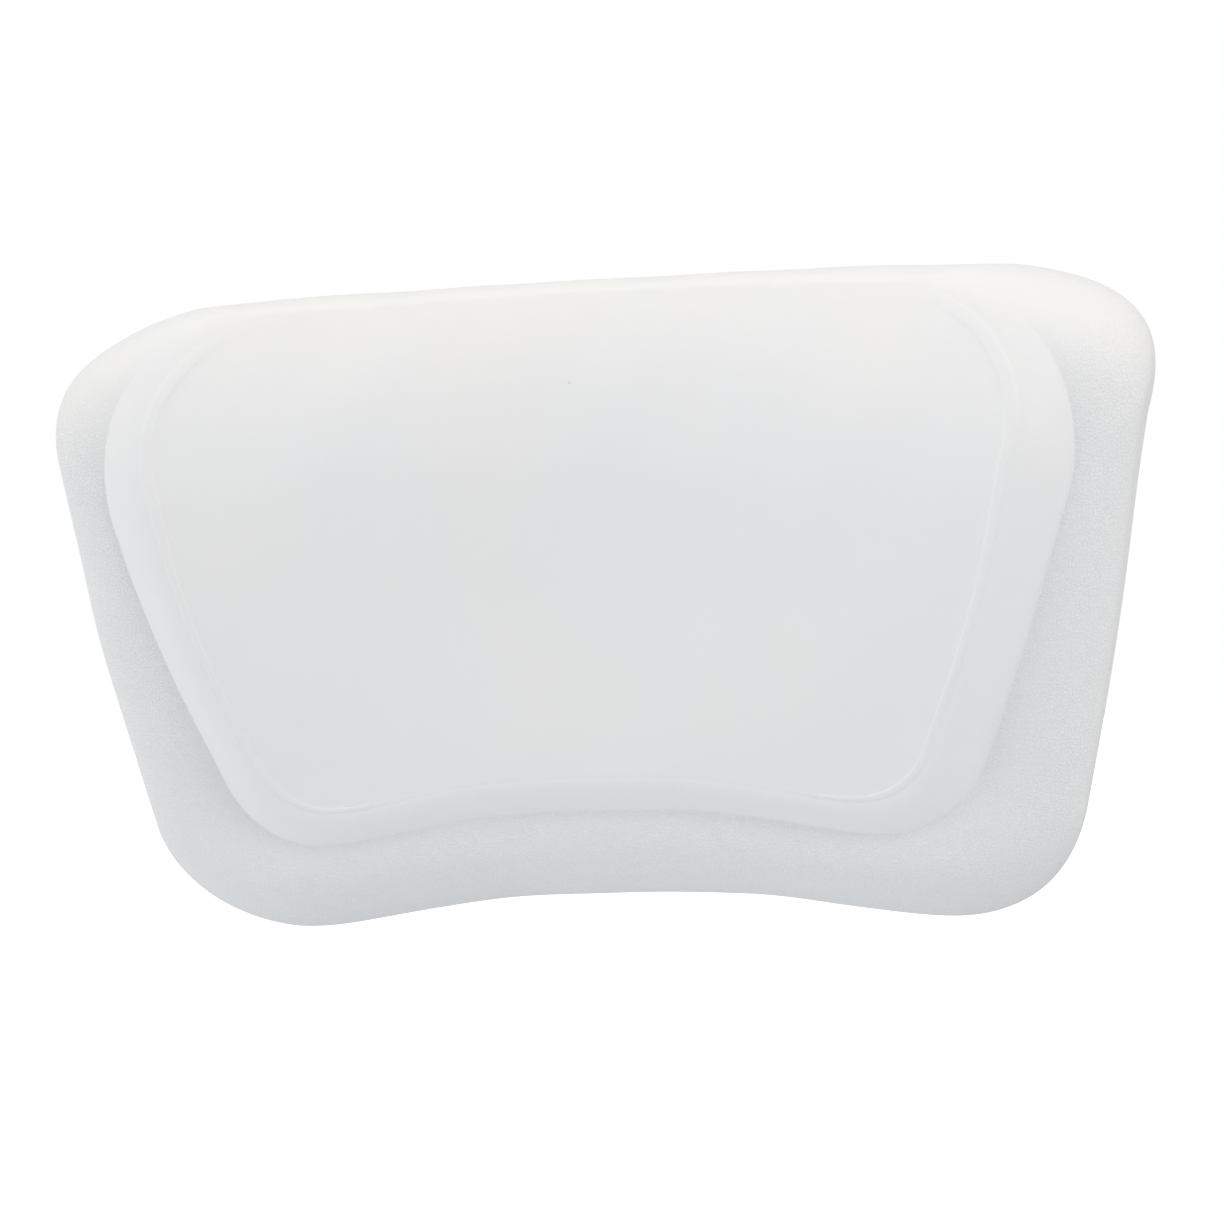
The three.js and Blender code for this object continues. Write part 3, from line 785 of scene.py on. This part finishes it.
def ringNormals(rings):
    # rings: array of ring, point, coordinate; normals that point out of the moulding
    around = np.roll(rings, -1, axis=1) - np.roll(rings, 1, axis=1)
    along = np.empty_like(rings)
    along[1:-1] = rings[2:] - rings[:-2]
    along[0] = rings[1] - rings[0]
    along[-1] = rings[-1] - rings[-2]
    normals = np.cross(around, along)
    return normals / np.maximum(np.linalg.norm(normals, axis=2, keepdims=True), 1e-9)


def outerPoints(values, rings):
    points = np.array([ring["points"] for ring in rings])
    normals = ringNormals(points)
    # uneven by a tenth of a millimetre, as moulded foam is
    x, up = points[..., 0], points[..., 1]
    acrossStep, acrossStart, upStep, upStart = values["dimples"]
    wave = np.sin(x / acrossStep + acrossStart) * np.sin(up / upStep + upStart)
    for height, acrossStep, upStep, start in values["slantWaves"]:
        wave = wave + height * np.sin(x / acrossStep + up / upStep + start)
    # but not on the flat of the back
    wavy = [ring["part"] != "back" or ring["share"] >= values["calmBack"] for ring in rings]
    points = points + normals * (values["wave"] * wave * np.array(wavy)[:, None])[..., None]
    for index, ring in enumerate(rings):
        if ring["proud"]:
            points[index] += normals[index] * ring["proud"]
    return points


def innerPoints(values, rings, depthIn):
    # a coarser loft: some of the rings, and every second point of each
    chosen = [ring["points"] for ring in rings if ring["share"] in innerRings.get(ring["part"], ())]
    points = np.array(chosen)[:, ::2]
    normals = ringNormals(points)
    normals[0] = (0, 0, -1)
    return points - normals * depthIn


def closedLoft(points, values, backDepth, inside=False):
    centreHeight = values["hollowLevel"]
    frontCentre = frontDepth(np.array([centreHeight]), values)[0] - values["hollowDepth"] - backDepth
    rows = points.reshape(-1, 3)
    everything = np.vstack([[[0, 0, backDepth]], rows, [[0, centreHeight, frontCentre]]])
    return toFrame(everything, values), loftFaces(points.shape[0], points.shape[1], inside)


def meshPiece(name, points, faces, material):
    mesh = bpy.data.meshes.new(name)
    mesh.from_pydata(points.tolist(), [], faces)
    mesh.materials.append(material)
    mesh.validate()
    piece = bpy.data.objects.new(name, mesh)
    bpy.context.scene.collection.objects.link(piece)
    return piece


# Blocks with the outline of a keyhole, for the sockets and for the rooms they sit in

def slotBlock(name, place, radius, start, end, travel=slotTravel, sides=64):
    x, z = place
    bpy.ops.mesh.primitive_cylinder_add(
        vertices=sides,
        radius=radius * mm,
        depth=(end - start) * mm,
        location=(x * mm, -(start + end) / 2 * mm, z * mm),
        rotation=(math.pi / 2, math.pi / sides, 0),
    )
    block = bpy.context.object
    block.name = name
    settle()
    if travel:
        startEdit(block, "VERT")
        pickVerts(block, lambda co: co.z < z * mm)
        bpy.ops.transform.translate(value=(0, 0, -travel * mm))
        endEdit()
    return block


def joinedPieces(name, pieces):
    makeActive(pieces[0])
    for piece in pieces[1:]:
        piece.select_set(True)
    bpy.ops.object.join()
    pieces[0].name = name
    return pieces[0]


openings = {  # radii, and starts and ends behind the wall
    "skin": 14.8,
    "skinRun": (9.5, 10.0, 14.5),
    "flare": 1.5,
    "socketRoom": 13.3,
    "socketRoomRun": (12.0, 20.0),
    "capRoom": 13.8,
    "capRoomRun": (19.7, 25.2),
}


def skinCutter(values, place):
    # flares where it meets the back, so that the opening's edge is broken
    flare = values["flare"]
    start, flareStart, end = values["skinRun"]
    cutter = slotBlock("skinCutter", place, values["skin"] + flare, start, flareStart)
    startEdit(cutter, "FACE")
    pickFaces(cutter, lambda face: face.normal.y < -0.9)
    bpy.ops.mesh.inset(thickness=flare * mm, depth=flare * mm)
    extrudeBy(0, (flareStart + flare - end) * mm)
    endEdit()
    return cutter


def makePillowSkin(values):
    rings = mouldingRings(values)
    outer = outerPoints(values, rings)
    inner = innerPoints(values, rings, values["skin"])
    outerVerts, outerFaces = closedLoft(outer, values, 0)
    innerVerts, innerFaces = closedLoft(inner, values, values["skin"], inside=True)
    offset = len(outerVerts)
    faces = outerFaces + [[index + offset for index in face] for face in innerFaces]
    skin = meshPiece("pillowSkin", np.vstack([outerVerts, innerVerts]), faces, skinMaterial)
    grain = [np.broadcast_to(ring["grain"], outer.shape[1]) for ring in rings]
    grain = np.concatenate([[leather["back"]], *grain, [leather["front"]], np.zeros(len(innerVerts))])
    layer = skin.data.attributes.new("grain", "FLOAT", "POINT")
    layer.data.foreach_set("value", grain.astype(np.float32))
    cutter = joinedPieces("skinCutters", [skinCutter(openings, place) for place in cupPlaces.values()])
    applyBoolean(skin, cutter)
    # the flares stay crisp, so that they don't shade the flat back round them
    startEdit(skin, "FACE")
    flareEnd = -(openings["skinRun"][1] + openings["flare"] + 0.1) * mm
    pickFaces(skin, lambda face: 0.5 < face.normal.y < 0.9 and face.calc_center_median().y > flareEnd)
    bpy.ops.mesh.region_to_loop()
    bpy.ops.mesh.mark_sharp()
    endEdit()
    smoothShade(skin, 60)
    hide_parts("outer_skin")
    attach(skin, "pillow")
    print("skin:", len(skin.data.polygons), "faces")
    return rings


rings = makePillowSkin(moulding)


# Foam core, with the rooms that the sockets, their caps and the stiffener plate sit in

plate = {
    "start": 20.0,
    "thickness": 3.0,
    "top": (102.5, 55.5),
    "bottom": (78.5, -69.5),
    "cornerRadius": 9.0,
    "lockHoles": ((0, 37), (0, 0), (0, -37), (72, -7), (-72, -7)),
    "lockHoleRadius": 6.0,
    "pegRun": (18.0, 26.0),
}


def plateRoom(values, gap):
    bpy.ops.mesh.primitive_plane_add(size=2 * mm, rotation=(math.pi / 2, 0, 0))
    room = bpy.context.object
    room.name = "plateRoom"
    settle()
    for vert in room.data.vertices:
        x, z = values["top"] if vert.co.z > 0 else values["bottom"]
        side = math.copysign(1, vert.co.x)
        vert.co = Vector((side * (x + gap), -(values["start"] - gap), z + math.copysign(gap, z))) * mm
    startEdit(room, "FACE")
    selectAll()
    bpy.ops.mesh.bevel(affect="VERTICES", offset=values["cornerRadius"] * mm, segments=8)
    selectAll()
    thickness = values["thickness"] + 2 * gap
    extrudeBy(0, -thickness * mm)
    selectAll()
    bpy.ops.mesh.normals_make_consistent(inside=False)
    endEdit()
    pegs = joinedPieces("pegs", [
        slotBlock("peg", place, values["lockHoleRadius"] - gap, *values["pegRun"], travel=0, sides=48)
        for place in values["lockHoles"]
    ])
    applyBoolean(room, pegs)
    return room


def makeFoamCore(values, rings):
    depthIn = values["skin"] + values["gap"]
    points, faces = closedLoft(innerPoints(values, rings, depthIn), values, depthIn)
    core = meshPiece("foamCore", points, faces, foamMaterial)
    rooms = []
    for kind in ("socketRoom", "capRoom"):
        size, run = openings[kind], openings[kind + "Run"]
        blocks = [slotBlock("room", place, size, *run) for place in cupPlaces.values()]
        rooms.append(joinedPieces("rooms", blocks))
    rooms.append(plateRoom(plate, values["gap"]))
    for room in rooms:
        applyBoolean(core, room)
    smoothShade(core, 40)
    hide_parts("foam_core")
    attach(core, "pillow")
    print("core:", len(core.data.polygons), "faces")


makeFoamCore(moulding, rings)


# Turned pieces: one vertex is drawn along half the section, which is then spun round the piece's axis

def roundedLine(corners, steps=4):
    # corners: radius, depth and how far each corner is cut back to a curve
    line = []
    for index, (radius, depth, cut) in enumerate(corners):
        here = Vector((radius, depth))
        if not cut:
            line.append(here)
            continue
        before = Vector(corners[index - 1][:2])
        after = Vector(corners[index + 1][:2])
        start = here + (before - here).normalized() * min(cut, (before - here).length * 0.49)
        end = here + (after - here).normalized() * min(cut, (after - here).length * 0.49)
        for step in range(steps + 1):
            share = step / steps
            line.append(start * (1 - share) ** 2 + here * 2 * share * (1 - share) + end * share ** 2)
    return line


def turnedPiece(name, line, material, steps=96):
    bpy.ops.mesh.primitive_plane_add(size=mm)
    piece = bpy.context.object
    piece.name = name
    startEdit(piece, "VERT")
    selectAll()
    bpy.ops.mesh.merge(type="CENTER")
    bpy.ops.transform.translate(value=(line[0].x * mm, -line[0].y * mm, 0))
    for before, after in zip(line, line[1:]):
        step = (after - before) * mm
        extrudeBy(step.x, -step.y)
    selectAll()
    bpy.ops.mesh.spin(steps=steps, angle=2 * math.pi, center=(0, 0, 0), axis=(0, 1, 0))
    selectAll()
    bpy.ops.mesh.remove_doubles(threshold=0.000002)
    bpy.ops.mesh.normals_make_consistent(inside=False)
    endEdit()
    piece.data.materials.append(material)
    return piece


def placeAtCups(master, label, node, body):
    # the master is made on the wall's centre line, and each cup gets a copy with its own mesh
    for name, (x, z) in cupPlaces.items():
        makeActive(master)
        bpy.ops.object.duplicate()
        piece = bpy.context.object
        piece.name = f"{label}_{name}"
        piece.data.name = piece.name
        piece.location = (x * mm, 0, z * mm)
        settle()
        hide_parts(f"{node}_{name}")
        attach(piece, body.format(name))
    discard(master)
    print(label, "placed four times")


suctionCup = {
    "radius": 25.0,
    "rimWidth": 2.5,
    "rimThickness": 1.2,
    "hollowDepth": 6.5,
    "bellDepth": 8.6,
    "neckRadius": 8.0,
    "neckEnd": 14.0,
    "neckFillet": 1.3,
    "neckSpread": 1.6,
    "rounding": {"rim": 0.35, "neckEnd": 0.7, "boreStart": 0.4, "chamber": 0.2, "floor": 0.3},
    "boreRadius": 2.9,
    "chamberRadius": 4.1,
    "chamber": (10.6, 8.3),
    "sealRings": (17.5, 19.5),
    "sealHeight": 0.18,
    "sealWidth": 0.4,
    "hollowSteps": 60,
    "bellSteps": 24,
    "tabHalfWidth": 5.0,
    "tabReach": 31.0,
    "tab": (0.4, 1.8),
    "tabLip": (1.1, 0.4, 0.35),
    "tabEdge": 0.3,
}


def makeSuctionCup(values):
    outside, neck, rimDepth = values["radius"], values["neckRadius"], values["rimThickness"]
    hollowRadius = outside - values["rimWidth"]
    rise = values["bellDepth"] - rimDepth
    neckAngle = math.acos(neck / outside)
    filletAngle = math.acos((neck + values["neckSpread"]) / outside)
    rounding = values["rounding"]
    corners = []
    for step in range(values["hollowSteps"] + 1):
        angle = math.pi / 2 * (1 - step / values["hollowSteps"])
        radius = hollowRadius * math.cos(angle)
        seal = sum(hill(radius, ring, values["sealWidth"]) for ring in values["sealRings"])
        corners.append((radius, values["hollowDepth"] * math.sin(angle) - values["sealHeight"] * seal, 0))
    corners.append((outside, 0, rounding["rim"]))
    corners.append((outside, rimDepth, 0))
    for step in range(1, values["bellSteps"] + 1):
        angle = filletAngle * step / values["bellSteps"]
        corners.append((outside * math.cos(angle), rimDepth + rise * math.sin(angle), 0))
    neckEnd, bore, chamber = values["neckEnd"], values["boreRadius"], values["chamberRadius"]
    chamberEnd, boreEnd = values["chamber"]
    corners += [
        (neck, rimDepth + rise * math.sin(neckAngle), values["neckFillet"]),
        (neck, neckEnd, rounding["neckEnd"]),
        (bore, neckEnd, rounding["boreStart"]),
        (bore, chamberEnd, rounding["chamber"]),
        (chamber, chamberEnd, rounding["chamber"]),
        (chamber, boreEnd, rounding["floor"]),
        (0, boreEnd, 0),
    ]
    bell = turnedPiece("suctionCupMaster", roundedLine(corners), vinylMaterial)

    # pull tab: a long round-ended block, cut off inside the rim
    start, end = values["tab"]
    half = values["tabHalfWidth"]
    tab = slotBlock("pullTab", (0, 2 * half - values["tabReach"]), half, start, end, travel=half, sides=48)
    root = (outside - values["rimWidth"] / 2) * -mm
    lipWidth, dishRun, dishDepth = values["tabLip"]
    startEdit(tab, "FACE")
    selectAll()
    bpy.ops.mesh.bisect(plane_co=(0, 0, root), plane_no=(0, 0, 1), use_fill=True, clear_outer=True)
    pickFaces(tab, lambda face: face.normal.y < -0.9)
    bpy.ops.mesh.inset(thickness=lipWidth * mm)
    bpy.ops.mesh.inset(thickness=dishRun * mm, depth=-dishDepth * mm)
    endEdit()
    bevelEdges(tab, values["tabEdge"], 60)
    applyBoolean(bell, tab, "UNION")
    smoothShade(bell, 40)
    placeAtCups(bell, "suctionCup", "suction_cup", "cup_{}")


makeSuctionCup(suctionCup)


cupStud = {  # corners of half its section: radius, depth from the wall, rounding
    "barb": ((0, 8.6, 0), (2.4, 8.6, 0.5), (3.8, 9.45, 0.35), (3.8, 10.3, 0.2)),
    "shank": ((2.6, 10.3, 0.3), (2.6, 14.3, 0.3)),
    "flange": ((8.0, 14.3, 0.45), (8.0, 15.8, 0.45)),
    "neck": ((3.7, 15.8, 0.4), (3.7, 18.8, 0.4)),
    "head": ((7.0, 18.8, 0.5), (7.0, 21.3, 0.8), (0, 21.3, 0)),
}


def makeCupStud(values):
    corners = [corner for stretch in values.values() for corner in stretch]
    stud = turnedPiece("cupStudMaster", roundedLine(corners), studMaterial, steps=72)
    smoothShade(stud, 40)
    placeAtCups(stud, "cupStud", "cup_stud", "stud_{}")


makeCupStud(cupStud)


# Keyhole sockets: a slot-shaped block stepped up by insets and extrusions, then cut to a keyhole

keyholeSocket = {
    "flange": (14.5, 11.0, 13.0),
    "shoulder": (13.0, 19.7),
    "spigot": (11.0, 23.0),
    "recess": (9.0, 16.1),
    "floorEnd": 18.5,
    "travel": slotTravel,
    "slotRadius": 4.0,
    "entryRadius": 7.75,
    "overshoot": (1.0, 1.2),
    "edge": 0.3,
}


def makeKeyholeSocket(values):
    flange, backFace, flangeEnd = values["flange"]
    shoulder, shoulderEnd = values["shoulder"]
    spigot, spigotEnd = values["spigot"]
    recess, floorStart = values["recess"]
    travel, floorEnd, over = values["travel"], values["floorEnd"], values["overshoot"]
    socket = slotBlock("socketMaster", (0, 0), flange, backFace, flangeEnd, travel)
    startEdit(socket, "FACE")
    pickFaces(socket, lambda face: face.normal.y < -0.9)
    steps = (
        (flange - shoulder, flangeEnd - shoulderEnd),
        (shoulder - spigot, shoulderEnd - spigotEnd),
        (spigot - recess, spigotEnd - floorEnd),
    )
    for inset, rise in steps:
        bpy.ops.mesh.inset(thickness=inset * mm)
        extrudeBy(0, rise * mm)
    nearBack = -(backFace + 0.1) * mm
    pickFaces(socket, lambda face: face.normal.y > 0.9 and face.calc_center_median().y > nearBack)
    bpy.ops.mesh.inset(thickness=(flange - recess) * mm)
    extrudeBy(0, (backFace - floorStart) * mm)
    endEdit()
    slot = slotBlock("slot", (0, 0), values["slotRadius"], floorStart - over[0], floorEnd + over[0], travel)
    start, end = floorStart - over[1], floorEnd + over[1]
    entry = slotBlock("entry", (0, -travel), values["entryRadius"], start, end, travel=0)
    for cutter in (slot, entry):
        applyBoolean(socket, cutter)
    bevelEdges(socket, values["edge"], 40)
    socket.data.materials.clear()
    socket.data.materials.append(insertMaterial)
    smoothShade(socket, 40)
    placeAtCups(socket, "keyholeSocket", "keyhole_socket", "pillow")


makeKeyholeSocket(keyholeSocket)


# Nodes kept as they are, foamed in out of sight

for name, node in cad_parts.items():
    if name == "stiffener_plate" or name.startswith("socket_cap"):
        for materialSlot in node.material_slots:
            materialSlot.material = insertMaterial


# Floor and light

studio = {
    "floorLevel": -0.32,
    "floorRadius": 9,
    "floorGrey": 0.86,
    "floorRoughness": 0.7,
    "floorGlow": 0.75,
    "aim": (0, -0.04, 0),
    "tent": {  # the white tent's glow by direction: axis, strength, colour
        "above": ((0, 0, 1), 0.98, (1.01, 1, 0.99)),
        "below": ((0, 0, -1), 0.54, (0.97, 1, 1.03)),
        "right": ((1, 0, 0), 0.86, (0.995, 1, 1.005)),
        "left": ((-1, 0, 0), 0.93, (1, 1, 1)),
        "leftFront": ((-0.707, -0.707, 0), 0.43, (0.98, 1, 1.02)),
        "lowFront": ((0, -0.707, -0.707), 0.39, (0.92, 0.99, 1.09)),
        "behind": ((0, 1, 0), 0.35, (1, 1, 1)),
    },
    "softboxes": {  # place, size, power, colour
        "overhead": ((-0.25, -0.55, 1.35), 1.3, 2.4, (1, 0.94, 0.84)),
        "highRight": ((1.1, -1.0, 0.9), 1.2, 7.2, (1, 0.94, 0.92)),
    },
}


def makeTentLobe():
    # how much of the glow round an axis is seen in a direction
    inputs = {"Direction": "Vector", "Axis": "Vector"}
    group, (heading, axis), result = newGroup("tentLobe", inputs, {"Share": "Float"})
    facing = addVectorMath(group, "DOT_PRODUCT", heading, axis, output="Value")
    ahead = addMath(group, "MAXIMUM", facing, 0)
    setInputs(group, result, {"Share": addMath(group, "MULTIPLY", ahead, ahead)})
    return group


def makeStudio(values):
    bpy.ops.mesh.primitive_circle_add(
        vertices=96, radius=values["floorRadius"], fill_type="NGON", location=(0, 0, values["floorLevel"]),
    )
    floor = bpy.context.object
    floor.name = "studioFloor"
    settle()
    material, tree, shader, place = newMaterial("paleFloor")
    grey = values["floorGrey"]
    setInputs(tree, shader, {"Base Color": (grey, grey, grey, 1), "Roughness": values["floorRoughness"]})
    glow = addNode(tree, "ShaderNodeEmission", values={"Strength": values["floorGlow"]})
    both = addNode(tree, "ShaderNodeAddShader", values={0: shader.outputs[0], 1: glow.outputs[0]})
    clear = addNode(tree, "ShaderNodeBsdfTransparent")
    seen = addNode(tree, "ShaderNodeLightPath").outputs["Is Camera Ray"]
    mix = addMixShader(tree, seen, clear.outputs[0], both.outputs[0])
    setInputs(tree, tree.nodes["Material Output"], {"Surface": mix})
    floor.data.materials.append(material)

    for name, (place, size, power, colour) in values["softboxes"].items():
        bpy.ops.object.light_add(type="AREA", location=place)
        lamp = bpy.context.object
        lamp.name = name
        lamp.data.size = size
        lamp.data.energy = power
        lamp.data.color = colour
        aim = Vector(values["aim"]) - Vector(place)
        lamp.rotation_euler = aim.to_track_quat("-Z", "Y").to_euler()

    world = bpy.data.worlds.new("softRoom")
    bpy.context.scene.world = world
    world.use_nodes = True
    tree = world.node_tree
    tree.nodes.clear()
    seen = addNode(tree, "ShaderNodeLightPath").outputs["Is Camera Ray"]
    heading = addNode(tree, "ShaderNodeTexCoord").outputs["Generated"]
    tentLobe = makeTentLobe()
    glow = (0, 0, 0)
    for axis, strength, colour in values["tent"].values():
        given = {"Direction": heading, "Axis": axis}
        share = addNode(tree, "ShaderNodeGroup", {"node_tree": tentLobe}, given).outputs["Share"]
        glow = addVectorMath(tree, "MULTIPLY_ADD", share, Vector(colour) * strength, glow)
    dome = addNode(tree, "ShaderNodeBackground", values={"Color": glow})
    white = addNode(tree, "ShaderNodeBackground", values={"Color": (1, 1, 1, 1)})
    mix = addMixShader(tree, seen, dome.outputs[0], white.outputs[0])
    addNode(tree, "ShaderNodeOutputWorld", values={"Surface": mix})
    bpy.context.scene.view_settings.view_transform = "Standard"


makeStudio(studio)
print("studio made")
